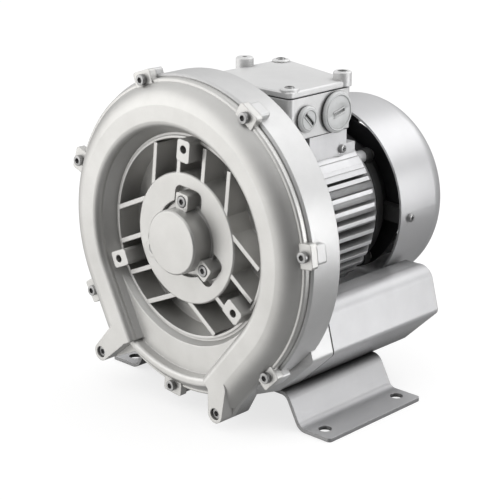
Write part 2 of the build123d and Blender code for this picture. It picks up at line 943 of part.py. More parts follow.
# Foot bracket and its bolts
def foot_bracket():
    half = foot_spacing_x / 2 + foot_edge
    length = foot_spacing_y + 2 * foot_end
    hat = outline(
        (-half, 0),
        (-foot_bend_half, 0),
        (-foot_top_half, foot_rise),
        (foot_top_half, foot_rise),
        (foot_bend_half, 0),
        (half, 0),
        (half, foot_sheet),
        (foot_bend_half + foot_wall_run, foot_sheet),
        (foot_top_half + foot_wall_run, foot_top_z),
        (-foot_top_half - foot_wall_run, foot_top_z),
        (-foot_bend_half - foot_wall_run, foot_sheet),
        (-half, foot_sheet),
    )
    inner_bends = [v for v in hat.vertices() if abs(v.X) < half - 1 and 1 < v.Y < foot_top_z - 1]
    hat = fillet(inner_bends, foot_bend)
    ends = (foot_bend_half - 0.1, foot_bend_half + 0.1)
    outer_bends = [v for v in hat.vertices() if v.Y > foot_top_z - 1 or ends[0] < abs(v.X) < ends[1]]
    body = slab(fillet(outer_bends, foot_bend + foot_sheet), -length / 2, length / 2)
    corners = body.edges().filter_by(Axis.Z).filter_by(lambda e: abs(e.center().X) > half - 1)
    body = fillet(corners, foot_corner)
    for x in (-foot_spacing_x / 2, foot_spacing_x / 2):
        for y in (-foot_spacing_y / 2, foot_spacing_y / 2):
            body -= Pos(x, y, 0) * Cylinder(foot_hole_radius, 4 * foot_sheet)
    for x in (-foot_bolt_x, foot_bolt_x):
        for y in (-foot_bolt_y, foot_bolt_y):
            body -= Pos(x, y, foot_rise) * Cylinder(foot_bolt_radius + hole_gap, 4 * foot_sheet)
    # the casing ring and its bulge reach below the top sheet, so its front edge is cut back
    side_y = foot_notch_y - foot_notch_bow
    notch = outline(
        (-foot_notch_half, -length),
        (-foot_notch_half, side_y),
        ((0.0, foot_notch_y), (foot_notch_half, side_y)),
        (foot_notch_half, -length),
    )
    body -= extrude(Pos(0, 0, foot_rise - foot_sheet) * notch, 3 * foot_sheet)
    return body


def foot_bolts():
    shape = Rot(180, 0, 0) * hex_bolt(foot_bolt_radius, foot_sheet + foot_bolt_grip - screw_tip_gap)
    places = [(x, y) for x in (-foot_bolt_x, foot_bolt_x) for y in (-foot_bolt_y, foot_bolt_y)]
    return group(Pos(x, y, foot_rise) * shape for x, y in places)


# Silencers, with their seals, foam and long screws
def silencer(side):
    rear_y = silencer_rear_y + port_rise
    body = slab(silencer_sketch(), silencer_front_y, silencer_rear_y)
    body -= slab(silencer_inside(), silencer_front_y, port_wall_y)
    neck = disc(port_neck_radius, port_front_y, rear_y, *port_center)
    body += chamfer(neck.edges().sort_by(Axis.Y)[-1], 1.0)
    body -= disc(port_thread_radius, port_front_y, rear_y, *port_center)
    whole = slab(silencer_sketch(), silencer_front_y, silencer_rear_y)
    for x, z in silencer_screws:
        body += disc(silencer_boss_radius, silencer_front_y, port_wall_y, x, z) & whole
        body -= disc(silencer_screw_radius + hole_gap, silencer_front_y, silencer_rear_y, x, z)
    body += foot_bosses(foot_bolt_y)[1]
    body -= foot_bores(foot_bolt_y)[1]
    return side_of(body, side)


def silencer_gaskets():
    ring = slab(silencer_sketch() - silencer_inside(), casting_rear_y, silencer_front_y)
    return group(side_of(ring, side) for side in (-1, 1))


def silencer_foam(side):
    near = silencer_front_y + foam_end_gap
    far = port_front_y - foam_end_gap
    lining = offset(silencer_sketch(), -silencer_wall - hole_gap)
    lining -= Pos(*port_center) * Circle(foam_bore_radius)
    for x, z in silencer_screws:
        lining -= Pos(x, z) * Circle(silencer_boss_radius + hole_gap)
    body = slab(lining, near, far)
    x, y, z = foot_bolt_x, foot_bolt_y, foot_top_z + foot_boss_height / 2
    body -= Pos(x, y, z) * Cylinder(foot_boss_radius + hole_gap, foot_boss_height + 2 * hole_gap)
    return side_of(body.solids().sort_by(SortBy.VOLUME)[-1], side)


def silencer_long_screws():
    length = silencer_rear_y - casting_rear_y + silencer_screw_grip - screw_tip_gap
    shape = screw(silencer_screw_radius, length)
    return group(facing_rear(x, silencer_rear_y, z) * shape for x, z in silencer_screw_places())


# Motor frame with cooling fins and the pedestal of the terminal box
def stator_frame():
    fin = Pos((frame_radius + fin_radius) / 2 - 0.5, 0) * Rectangle(
        fin_radius - frame_radius + 1.0, fin_thickness)
    section = Sketch() + Circle(frame_radius)
    section += [Rot(0, 0, index * 360 / fin_count) * fin for index in range(fin_count)]
    # a smooth saddle instead of fins under the terminal box
    upper = Pos(0, saddle_height + fin_radius / 2) * Rectangle(2 * fin_radius, fin_radius)
    section += upper & Circle(saddle_radius)
    body = slab(section, frame_front_y, frame_rear_y)
    body -= spun(outline(
        (fin_radius + 1.0, fin_taper_y),
        (fin_radius + 1.0, frame_rear_y),
        (frame_radius, frame_rear_y),
    ))
    for x, z in tie_places():
        body += disc(tie_boss_radius, frame_front_y, frame_rear_y, x, z)
    body = lifted(body)
    pedestal = Pos(0, (pedestal_front_y + pedestal_rear_y) / 2, (pedestal_foot_z + pedestal_top_z) / 2)
    pedestal *= Box(
        2 * pedestal_half_width,
        pedestal_rear_y - pedestal_front_y,
        pedestal_top_z - pedestal_foot_z,
    )
    lug_z = axis_height + pedestal_lug_rise + pedestal_lug_height / 2
    lug = Pos(pedestal_half_width - pedestal_lug_width / 2, pedestal_rear_y + pedestal_lug_reach / 2, lug_z)
    lug *= Box(pedestal_lug_width, pedestal_lug_reach, pedestal_lug_height)
    body += [pedestal, lug]
    body -= lifted(disc(core_radius, frame_front_y, frame_rear_y))
    body -= Pos(0, wire_hole_y, axis_height) * extrude(
        Circle(wire_hole_radius), pedestal_top_z - axis_height)
    for x, z in tie_places():
        body -= lifted(disc(tie_screw_radius + hole_gap, frame_front_y, frame_rear_y, x, z))
    for x in (-box_screw_x, box_screw_x):
        body -= Pos(x, box_screw_y, pedestal_top_z - box_screw_grip / 2) * Cylinder(
            box_screw_radius, box_screw_grip)
    earth = extrude(Circle(earth_screw_radius), -earth_screw_grip)
    body -= facing_right(pedestal_half_width, earth_screw_y, earth_screw_z) * earth
    return body


def earth_screw():
    shape = screw(earth_screw_radius, earth_screw_grip - screw_tip_gap)
    return facing_right(pedestal_half_width, earth_screw_y, earth_screw_z) * shape


def slot_ring(inner, depth):
    slot_middle = inner + tooth_lip + depth / 2
    slot = Pos(slot_middle, 0) * Rectangle(depth, slot_width)
    return [Rot(0, 0, index * 360 / slot_count) * slot for index in range(slot_count)]


def stator_core():
    bore = rotor_radius + air_gap
    section = Circle(core_radius) - Circle(bore)
    section -= slot_ring(bore, slot_depth)
    return lifted(slab(section, core_front_y, core_rear_y))


def stator_windings():
    bore = rotor_radius + air_gap
    coils = slab(Sketch() + slot_ring(bore, slot_depth), core_front_y, core_rear_y)
    heads = []
    for near in (core_front_y - winding_overhang, core_rear_y):
        head = tube(winding_inner_radius, winding_outer_radius, near, near + winding_overhang)
        rims = head.edges().filter_by(GeomType.CIRCLE)
        outer_y = near if near < core_front_y else near + winding_overhang
        heads.append(fillet(rims.filter_by_position(Axis.Y, outer_y - 0.1, outer_y + 0.1), winding_round))
    return lifted(coils + heads)


def rotor_core():
    body = tube(core_seat_radius, rotor_radius, core_front_y, core_rear_y)
    for near in (core_front_y - end_ring_length, core_rear_y):
        inner, outer = [rotor_radius - inset for inset in end_ring_insets]
        body += tube(inner, outer, near, near + end_ring_length)
    return lifted(body)


# Rear end shield, which carries the rear bearing and the cowl
def rear_end_shield():
    boss_radius = bearing_radius + shield_boss_wall
    boss_front_y = rear_bearing_y - 2.0
    body = disc(shield_radius, frame_rear_y, shield_rear_y)
    body += [disc(shield_tie_radius, frame_rear_y, shield_rear_y, x, z) for x, z in tie_places()]
    body += disc(boss_radius, boss_front_y, shield_boss_rear_y)
    body += tube(core_radius - spigot_wall, core_radius, frame_rear_y - spigot_length, frame_rear_y)
    # the cowl sits on arms that a collar holds behind the shield
    arm_root = shield_collar_radius - shield_collar_wall
    body += tube(arm_root, shield_collar_radius, frame_rear_y, arm_rear_y)
    arm = Pos((arm_root + cowl_radius) / 2, 0) * Rectangle(cowl_radius - arm_root, shield_arm_width)
    body += around(cowl_screw_count, cowl_screw_angle, slab(arm, arm_front_y, arm_rear_y))
    body &= disc(cowl_inner_radius, boss_front_y, shield_boss_rear_y + arm_rear_y)
    body -= disc(bearing_radius, boss_front_y, rear_bearing_rear_y + preload_washer)
    body -= disc(core_seat_radius, rear_bearing_rear_y, shield_boss_rear_y)
    for x, z in tie_places():
        body -= disc(tie_screw_radius + hole_gap, frame_rear_y, shield_rear_y, x, z)
    bore = Rot(0, 90, 0) * Cylinder(cowl_screw_radius, 2 * cowl_screw_grip)
    body -= around(cowl_screw_count, cowl_screw_angle, Pos(cowl_inner_radius, cowl_screw_y, 0) * bore)
    return lifted(body)


def preload_washer_ring():
    rear_y = rear_bearing_rear_y + preload_washer
    return lifted(tube(bearing_radius - preload_washer_width, bearing_radius, rear_bearing_rear_y, rear_y))


def tie_screws():
    length = shield_rear_y - back_plate_rear_y + tie_screw_grip - screw_tip_gap
    shape = screw(tie_screw_radius, length)
    return group(facing_rear(x, shield_rear_y, z + axis_height) * shape for x, z in tie_places())


# Cooling fan on the shaft's rear end
def fan_clip_y():
    return fan_rear_y - fan_blade_width / 2


def cooling_fan():
    hub_rear_y = fan_clip_y()
    body = disc(fan_radius, fan_y, fan_y + fan_disc) + disc(fan_hub_radius, fan_y, hub_rear_y)
    blade_length = fan_radius - fan_blade_inner_radius
    blade = slab(
        Pos(fan_blade_inner_radius + blade_length / 2, 0) * Rectangle(blade_length, fan_blade_thickness),
        fan_y,
        fan_rear_y,
    )
    body += around(fan_blade_count, 0, blade)
    body -= disc(fan_seat_radius, fan_y, hub_rear_y)
    return lifted(body)


def fan_clip_ring():
    near = fan_clip_y()
    ring = tube(fan_seat_radius - fan_clip_groove, fan_seat_radius + fan_clip_rise, near, near + fan_clip)
    gap = Pos(fan_seat_radius + 1.0, near, 0) * Box(fan_clip_mouth[0], 4 * fan_clip, fan_clip_mouth[1])
    return lifted(ring - gap)


# Fan cowl with a ring grille in its rear
def cowl_profile():
    round_center = cowl_radius - cowl_rear_round
    inner_round = cowl_rear_round - cowl_wall
    lean = sqrt(0.5)
    rear_inner_y = cowl_rear_y - cowl_wall
    bend_y = cowl_rear_y - cowl_rear_round
    outer_knee = (round_center + cowl_rear_round * lean, bend_y + cowl_rear_round * lean)
    inner_knee = (round_center + inner_round * lean, bend_y + inner_round * lean)
    return outline(
        (0.0, cowl_rear_y),
        (round_center, cowl_rear_y),
        (outer_knee, (cowl_radius, bend_y)),
        (cowl_radius, cowl_front_y),
        (cowl_inner_radius, cowl_front_y),
        (cowl_inner_radius, bend_y),
        (inner_knee, (round_center, rear_inner_y)),
        (0.0, rear_inner_y),
    )


def grille_slots():
    arm = Rectangle(cowl_radius, grille_arm)
    arms = [
        Rot(0, 0, index * 360 / grille_sectors) * Pos(cowl_radius / 2, 0) * arm
        for index in range(grille_sectors)
    ]
    slots = Sketch()
    for index in range(grille_rings):
        inner = grille_hub_radius + index * (grille_slot + grille_bar)
        slots += Circle(inner + grille_slot) - Circle(inner)
    return slots - arms


def fan_cowl():
    body = spun(cowl_profile())
    body -= slab(grille_slots(), cowl_rear_y - 2 * cowl_wall, cowl_rear_y)
    bore = Rot(0, 90, 0) * Cylinder(cowl_screw_radius + hole_gap, 6 * cowl_wall)
    body -= around(cowl_screw_count, cowl_screw_angle, Pos(cowl_radius, cowl_screw_y, 0) * bore)
    return lifted(body)


def cowl_screws():
    shape = screw(cowl_screw_radius, cowl_screw_grip)
    placed = facing_right(cowl_radius, cowl_screw_y, 0) * shape
    return group(lifted(part) for part in around(cowl_screw_count, cowl_screw_angle, placed))


# Terminal box
def box_sketch():
    face = outline(
        (-box_half_width, box_front_y),
        (box_half_width, box_front_y),
        (box_half_width, box_right_rear_y),
        (-box_half_width, box_left_rear_y),
    )
    return fillet(face.vertices(), box_corner)


def box_corners():
    inset = box_post_inset
    shift_x, shift_y = box_right_post_shift
    return [
        (-box_half_width + inset, box_front_y + inset),
        (box_half_width - inset, box_front_y + inset),
        (box_half_width - inset + shift_x, box_right_rear_y - inset + shift_y),
        (-box_half_width + inset, box_left_rear_y - box_left_post_ratio * inset),
    ]


def terminal_box():
    body = extrude(Pos(0, 0, box_floor_z) * box_sketch(), box_height)
    inside = offset(box_sketch(), -box_wall)
    body -= extrude(Pos(0, 0, box_floor_z + box_wall) * inside, box_height)
    shell = extrude(Pos(0, 0, box_floor_z) * box_sketch(), box_height)
    for x, y in box_corners():
        post = extrude(Pos(x, y, box_floor_z) * Circle(box_post_radius), box_height)
        body += post & shell
        body -= extrude(Pos(x, y, box_rim_z) * Circle(lid_screw_radius), -lid_screw_grip)
    body -= Pos(0, wire_hole_y, box_floor_z) * Cylinder(wire_hole_radius, 4 * box_wall)
    for x in (-box_screw_x, box_screw_x):
        body -= Pos(x, box_screw_y, box_floor_z) * Cylinder(box_screw_radius + hole_gap, 4 * box_wall)
    for y, radius in plugs():
        bore = extrude(Circle(radius * plug_neck_ratio), -2 * box_wall)
        body -= facing_right(box_half_width, y, plug_z) * bore
    return body


def plugs():
    return (small_plug_y, small_plug_radius), (large_plug_y, large_plug_radius)


def gland_plug(y, radius, slot_angle):
    neck = extrude(Circle(radius * plug_neck_ratio), -plug_neck_length)
    head = extrude(Pos(0, 0, plug_seal) * Circle(radius), plug_head)
    neck_top = extrude(Circle(radius * plug_neck_ratio), plug_seal)
    head = chamfer(head.edges().sort_by(Axis.Z)[-1], plug_chamfer)
    slot = Rot(0, 0, slot_angle) * Rectangle(plug_slot_ratio * radius, plug_slot_width)
    body = neck + neck_top + head
    body -= extrude(Pos(0, 0, plug_seal + plug_head) * slot, -plug_slot_depth)
    return facing_right(box_half_width, y, plug_z) * body


def plug_seals():
    seals = []
    for y, radius in plugs():
        ring = extrude(Circle(radius - plug_seal_inset) - Circle(radius * plug_neck_ratio), plug_seal)
        seals.append(facing_right(box_half_width, y, plug_z) * ring)
    return group(seals)


def box_screws():
    shape = screw(box_screw_radius, box_wall + box_gasket + box_screw_grip - screw_tip_gap)
    head_z = box_floor_z + box_wall
    return group(Pos(x, box_screw_y, head_z) * shape for x in (-box_screw_x, box_screw_x))


def pedestal_gasket():
    length = pedestal_rear_y - pedestal_front_y
    sketch = Pos(0, (pedestal_front_y + pedestal_rear_y) / 2) * Rectangle(2 * pedestal_half_width, length)
    sketch -= Pos(0, wire_hole_y) * Circle(wire_hole_radius)
    for x in (-box_screw_x, box_screw_x):
        sketch -= Pos(x, box_screw_y) * Circle(box_screw_radius + hole_gap)
    return extrude(Pos(0, 0, pedestal_top_z) * sketch, box_gasket)


def lid_gasket():
    sketch = box_sketch() - offset(box_sketch(), -box_wall)
    for x, y in box_corners():
        sketch += (Pos(x, y) * Circle(box_post_radius)) & box_sketch()
    for x, y in box_corners():
        sketch -= Pos(x, y) * Circle(lid_screw_radius + hole_gap)
    return extrude(Pos(0, 0, box_rim_z) * sketch, gasket)


def terminal_lid():
    body = extrude(Pos(0, 0, lid_z) * box_sketch(), lid_thickness)
    body = chamfer(body.faces().sort_by(Axis.Z)[-1].edges(), 1.0)
    lugs = [*zip(box_corners(), lid_lug_rises), (side_lug_place, side_lug_rise)]
    for (x, y), rise in lugs:
        lug = extrude(Pos(x, y, lid_z) * Circle(lid_lug_radius), lid_thickness + rise)
        body += chamfer(lug.edges().sort_by(Axis.Z)[-1], 1.0)
    for (x, y), rise in zip(box_corners(), lid_lug_rises):
        body -= extrude(Pos(x, y, lid_z) * Circle(lid_screw_radius + hole_gap), lid_thickness + rise)
        body -= extrude(Pos(x, y, lid_top_z) * Circle(head_room(lid_screw_radius)), rise)
    body -= extrude(Pos(*side_lug_place, lid_top_z) * Circle(lid_screw_radius), side_lug_rise)
    return body


def lid_screws():
    shape = screw(lid_screw_radius, lid_thickness + gasket + lid_screw_grip - screw_tip_gap)
    return group(Pos(x, y, lid_top_z) * shape for x, y in box_corners())


def terminal_block():
    sketch = Pos(0, block_y) * RectangleRounded(block_length, block_width, 2.0)
    return extrude(Pos(0, 0, block_z) * sketch, block_height)


def stud_places():
    return [
        (column * stud_pitch_x, block_y + row * stud_pitch_y)
        for column in (-1, 0, 1)
        for row in (-0.5, 0.5)
    ]


def terminal_studs():
    top_z = block_z + block_height
    stud = extrude(Circle(stud_radius), stud_height) + extrude(
        RegularPolygon(stud_nut_radius, 6), stud_nut_height)
    return group(Pos(x, y, top_z) * stud for x, y in stud_places())


# Every piece of the machine, by the name of its file
def pieces():
    return {
        "housing_cover": housing_cover(),
        "bearing_cap": bearing_cap(),
        "cap_screws": cap_screws(),
        "cover_gasket": cover_gasket(),
        "cover_screws": cover_screws(),
        "leg_screws": leg_screws(),
        "impeller_housing": impeller_housing(),
        "impeller": impeller(),
        "impeller_key": impeller_key(),
        "impeller_spacer": impeller_spacer(),
        "shaft_nut": shaft_nut(),
        "shaft": shaft(),
        "shaft_seal": shaft_seal(),
        "front_bearing_inner": bearing_inner(front_bearing_y),
        "front_bearing_outer": bearing_outer(front_bearing_y),
        "front_bearing_balls": bearing_balls(front_bearing_y),
        "front_bearing_cage": bearing_cage(front_bearing_y),
        "rear_bearing_inner": bearing_inner(rear_bearing_y),
        "rear_bearing_outer": bearing_outer(rear_bearing_y),
        "rear_bearing_balls": bearing_balls(rear_bearing_y),
        "rear_bearing_cage": bearing_cage(rear_bearing_y),
        "foot_bracket": foot_bracket(),
        "foot_bolts": foot_bolts(),
        "silencer_left": silencer(-1),
        "silencer_right": silencer(1),
        "silencer_gaskets": silencer_gaskets(),
        "silencer_foam_left": silencer_foam(-1),
        "silencer_foam_right": silencer_foam(1),
        "silencer_screws": silencer_long_screws(),
        "stator_frame": stator_frame(),
        "stator_core": stator_core(),
        "stator_windings": stator_windings(),
        "rotor_core": rotor_core(),
        "rear_end_shield": rear_end_shield(),
        "preload_washer": preload_washer_ring(),
        "tie_screws": tie_screws(),
        "cooling_fan": cooling_fan(),
        "fan_clip": fan_clip_ring(),
        "fan_cowl": fan_cowl(),
        "cowl_screws": cowl_screws(),
        "terminal_box": terminal_box(),
        "pedestal_gasket": pedestal_gasket(),
        "box_screws": box_screws(),
        "terminal_lid": terminal_lid(),
        "lid_gasket": lid_gasket(),
        "lid_screws": lid_screws(),
        "small_gland_plug": gland_plug(small_plug_y, small_plug_radius, small_plug_slot_angle),
        "large_gland_plug": gland_plug(large_plug_y, large_plug_radius, large_plug_slot_angle),
        "plug_seals": plug_seals(),
        "terminal_block": terminal_block(),
        "terminal_studs": terminal_studs(),
        "earth_screw": earth_screw(),
    }


if __name__ == "__main__":
    os.makedirs("parts", exist_ok=True)
    for name, shape in pieces().items():
        export_step(shape, f"parts/{name}.step")
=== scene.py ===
import json
import math

import bmesh
import bpy
from mathutils import Matrix, Vector


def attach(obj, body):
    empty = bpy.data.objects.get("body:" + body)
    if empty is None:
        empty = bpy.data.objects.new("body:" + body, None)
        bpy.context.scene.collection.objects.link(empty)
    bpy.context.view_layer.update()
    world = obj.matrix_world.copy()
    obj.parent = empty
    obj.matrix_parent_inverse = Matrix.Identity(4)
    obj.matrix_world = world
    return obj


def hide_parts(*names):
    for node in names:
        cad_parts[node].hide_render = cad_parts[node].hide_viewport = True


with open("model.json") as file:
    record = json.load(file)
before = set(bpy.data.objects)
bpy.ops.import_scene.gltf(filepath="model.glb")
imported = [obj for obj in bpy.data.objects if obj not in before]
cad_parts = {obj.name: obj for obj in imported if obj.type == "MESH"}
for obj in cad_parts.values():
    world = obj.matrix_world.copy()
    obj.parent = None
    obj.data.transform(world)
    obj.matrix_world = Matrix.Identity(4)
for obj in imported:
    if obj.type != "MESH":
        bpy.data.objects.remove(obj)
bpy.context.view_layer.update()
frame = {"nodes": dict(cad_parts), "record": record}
nodes = frame["nodes"]
print("frame loaded with", len(nodes), "nodes")

# Camera, at the place that the photograph was taken from
photoCamera = {
    "place": (0.773, -0.823, 0.474), "target": (-0.007, -0.006, 0.107),
    "lens": 111.0, "sensor": 36.0, "farthest": 20.0,
}

camData = bpy.data.cameras.new("photoCamera")
camData.lens = photoCamera["lens"]
camData.sensor_width = photoCamera["sensor"]
camData.clip_end = photoCamera["farthest"]
cam = bpy.data.objects.new("photoCamera", camData)
bpy.context.scene.collection.objects.link(cam)
cam.location = photoCamera["place"]
aim = Vector(photoCamera["target"]) - Vector(photoCamera["place"])
cam.rotation_euler = aim.to_track_quat("-Z", "Y").to_euler()
bpy.context.scene.camera = cam

# Studio: pale floor, three soft boxes, a bright card low on the left, a dark flag at the camera
studio = {
    "floorSize": 16.0,
    "floorColor": (0.30, 0.30, 0.30),
    "floorGlow": 0.74,
    "floorRough": 0.9,
    "floorMottle": 3.0,
    "floorDip": 0.99,
    "backdrop": (1.0, 1.0, 1.0, 1.0),
    # stops of the sky run from 0 straight down to 1 straight up
    "skyUnder": {"stop": 0.44, "tone": (0.26, 0.26, 0.26)},
    "skyLow": {"stop": 0.52, "tone": (0.36, 0.36, 0.36)},
    "skyHigh": {"stop": 0.85, "tone": (0.95, 0.95, 0.95)},
    "card": {"tone": (1.2, 1.19, 1.17), "towards": (-0.68, -0.71, -0.18), "edges": (0.45, 0.9)},
    "flag": {"tone": (0.03, 0.03, 0.03), "towards": (0.72, -0.68, 0.10), "edges": (0.72, 0.95)},
    "softBoxes": {
        "keyBox": {"place": (-1.15, -1.25, 0.55), "aimAt": (0.0, -0.05, 0.13),
                   "width": 1.9, "height": 1.6, "watts": 8.5},
        "topBox": {"place": (0.40, 0.85, 1.10), "aimAt": (0.02, 0.0, 0.13),
                   "width": 1.0, "height": 1.0, "watts": 4.0},
        "sideBox": {"place": (1.28, 0.68, 0.18), "aimAt": (0.05, 0.02, 0.12),
                    "width": 1.0, "height": 0.9, "watts": 9.0},
    },
}


def softBox(name, place, aimAt, width, height, watts):
    data = bpy.data.lights.new(name, "AREA")
    data.shape = "RECTANGLE"
    data.size = width
    data.size_y = height
    data.energy = watts
    lamp = bpy.data.objects.new(name, data)
    lamp.location = place
    direction = Vector(aimAt) - Vector(place)
    lamp.rotation_euler = direction.to_track_quat("-Z", "Y").to_euler()
    bpy.context.scene.collection.objects.link(lamp)


for name, light in studio["softBoxes"].items():
    softBox(name, **light)

world = bpy.data.worlds.new("studio")
world.use_nodes = True
sky = world.node_tree
skyPlace = sky.nodes.new("ShaderNodeTexCoord")
skySplit = sky.nodes.new("ShaderNodeSeparateXYZ")
skyRamp = sky.nodes.new("ShaderNodeValToRGB")
skyRange = sky.nodes.new("ShaderNodeMapRange")
skyRange.inputs["From Min"].default_value = -1.0
skyUnder, skyLow = skyRamp.color_ramp.elements
skyUnder.position = studio["skyUnder"]["stop"]
skyUnder.color = (*studio["skyUnder"]["tone"], 1.0)
skyLow.position = studio["skyLow"]["stop"]
skyLow.color = (*studio["skyLow"]["tone"], 1.0)
skyHigh = skyRamp.color_ramp.elements.new(studio["skyHigh"]["stop"])
skyHigh.color = (*studio["skyHigh"]["tone"], 1.0)
sky.links.new(skyPlace.outputs["Generated"], skySplit.inputs["Vector"])
sky.links.new(skySplit.outputs["Z"], skyRange.inputs["Value"])
sky.links.new(skyRange.outputs["Result"], skyRamp.inputs["Fac"])
seen = sky.nodes.new("ShaderNodeLightPath")
backMix = sky.nodes.new("ShaderNodeMix")
backMix.data_type = "RGBA"
backMix.inputs["B"].default_value = studio["backdrop"]
sky.links.new(seen.outputs["Is Camera Ray"], backMix.inputs["Factor"])


def skyPatch(under, towards, tone, edges):
    # a soft round patch of the surround, such as a white card or a black flag
    dot = sky.nodes.new("ShaderNodeVectorMath")
    dot.operation = "DOT_PRODUCT"
    dot.inputs[1].default_value = Vector(towards).normalized()
    fade = sky.nodes.new("ShaderNodeMapRange")
    fade.interpolation_type = "SMOOTHSTEP"
    fade.inputs["From Min"].default_value, fade.inputs["From Max"].default_value = edges
    patch = sky.nodes.new("ShaderNodeMix")
    patch.data_type = "RGBA"
    patch.inputs["B"].default_value = (*tone, 1.0)
    sky.links.new(skyPlace.outputs["Generated"], dot.inputs[0])
    sky.links.new(dot.outputs["Value"], fade.inputs["Value"])
    sky.links.new(fade.outputs["Result"], patch.inputs["Factor"])
    sky.links.new(under, patch.inputs["A"])
    return patch.outputs["Result"]


surround = skyPatch(skyRamp.outputs["Color"], **studio["card"])
surround = skyPatch(surround, **studio["flag"])
sky.links.new(surround, backMix.inputs["A"])
sky.links.new(backMix.outputs["Result"], sky.nodes["Background"].inputs["Color"])
bpy.context.scene.world = world
bpy.context.scene.view_settings.view_transform = "Standard"

bpy.ops.mesh.primitive_plane_add(size=studio["floorSize"], location=(0.0, 0.0, 0.0))
floor = bpy.context.object
floor.name = "floor"
floor.visible_diffuse = False
floor.visible_glossy = False
print("camera and studio ready")


# Materials, all from noise on Object coordinates, with painted shade from occlusion in closed-in
# places
def startMaterial(name):
    material = bpy.data.materials.new(name)
    material.use_nodes = True
    tree = material.node_tree
    return material, tree, tree.nodes["Principled BSDF"]


def noiseOf(tree, scale, detail=3.0, roughness=0.5, stretch=None):
    coords = tree.nodes.new("ShaderNodeTexCoord")
    noise = tree.nodes.new("ShaderNodeTexNoise")
    noise.inputs["Scale"].default_value = scale
    noise.inputs["Detail"].default_value = detail
    noise.inputs["Roughness"].default_value = roughness
    if stretch:
        mapping = tree.nodes.new("ShaderNodeMapping")
        mapping.inputs["Scale"].default_value = stretch
        tree.links.new(coords.outputs["Object"], mapping.inputs["Vector"])
        tree.links.new(mapping.outputs["Vector"], noise.inputs["Vector"])
    else:
        tree.links.new(coords.outputs["Object"], noise.inputs["Vector"])
    return noise.outputs["Fac"]


# noise lies mostly between these two values
noiseSpan = (0.3, 0.7)


def rangeOf(tree, source, low, high, span=noiseSpan):
    node = tree.nodes.new("ShaderNodeMapRange")
    node.inputs["From Min"].default_value, node.inputs["From Max"].default_value = span
    node.inputs["To Min"].default_value = low
    node.inputs["To Max"].default_value = high
    tree.links.new(source, node.inputs["Value"])
    return node.outputs["Result"]


def rampOf(tree, source, dark, light):
    ramp = tree.nodes.new("ShaderNodeValToRGB")
    for stop, position, tone in zip(ramp.color_ramp.elements, noiseSpan, (dark, light)):
        stop.position = position
        stop.color = (*tone, 1.0)
    tree.links.new(source, ramp.inputs["Fac"])
    return ramp.outputs["Color"]


surfaceDetail = {
    "mottleDetail": 4.0, "grainDetail": 2.0, "roughness": 0.6, "samples": 6,
    "paintedShadeRange": (0.25, 0.8),
}


def surface(name, look):
    # mottled colour with painted shade in closed-in places, uneven gloss, and a fine grain under
    # rounded edges
    material, tree, shader = startMaterial(name)
    stretch = look.get("stretch")
    mottle = noiseOf(
        tree, look["mottle"], surfaceDetail["mottleDetail"], surfaceDetail["roughness"], stretch)
    tone = rampOf(tree, mottle, look["dark"], look["light"])
    if look.get("paintedShade"):
        # painted shade: the colour darkens towards the finish's shade tone by occlusion where the
        # surface is closed in, in recesses, creases and between parts
        paintedShade = tree.nodes.new("ShaderNodeAmbientOcclusion")
        paintedShade.samples = surfaceDetail["samples"]
        paintedShade.inputs["Distance"].default_value = look["paintedShade"]
        blend = tree.nodes.new("ShaderNodeMix")
        blend.data_type = "RGBA"
        blend.inputs["A"].default_value = (*look["paintedShadeTone"], 1.0)
        span = look.get("paintedShadeRange", surfaceDetail["paintedShadeRange"])
        openness = rangeOf(tree, paintedShade.outputs["AO"], 0.0, 1.0, span)
        tree.links.new(openness, blend.inputs["Factor"])
        tree.links.new(tone, blend.inputs["B"])
        tone = blend.outputs["Result"]
    tree.links.new(tone, shader.inputs["Base Color"])
    grain = noiseOf(
        tree, look["grain"], surfaceDetail["grainDetail"], surfaceDetail["roughness"], stretch)
    tree.links.new(rangeOf(tree, grain, *look["rough"]), shader.inputs["Roughness"])
    bump = tree.nodes.new("ShaderNodeBump")
    bump.inputs["Strength"].default_value = look["bump"]
    bump.inputs["Distance"].default_value = look["bumpDepth"]
    tree.links.new(grain, bump.inputs["Height"])
    if look.get("edge"):
        edge = tree.nodes.new("ShaderNodeBevel")
        edge.samples = surfaceDetail["samples"]
        edge.inputs["Radius"].default_value = look["edge"]
        tree.links.new(edge.outputs["Normal"], bump.inputs["Normal"])
    tree.links.new(bump.outputs["Normal"], shader.inputs["Normal"])
    shader.inputs["Metallic"].default_value = look["metallic"]
    return material
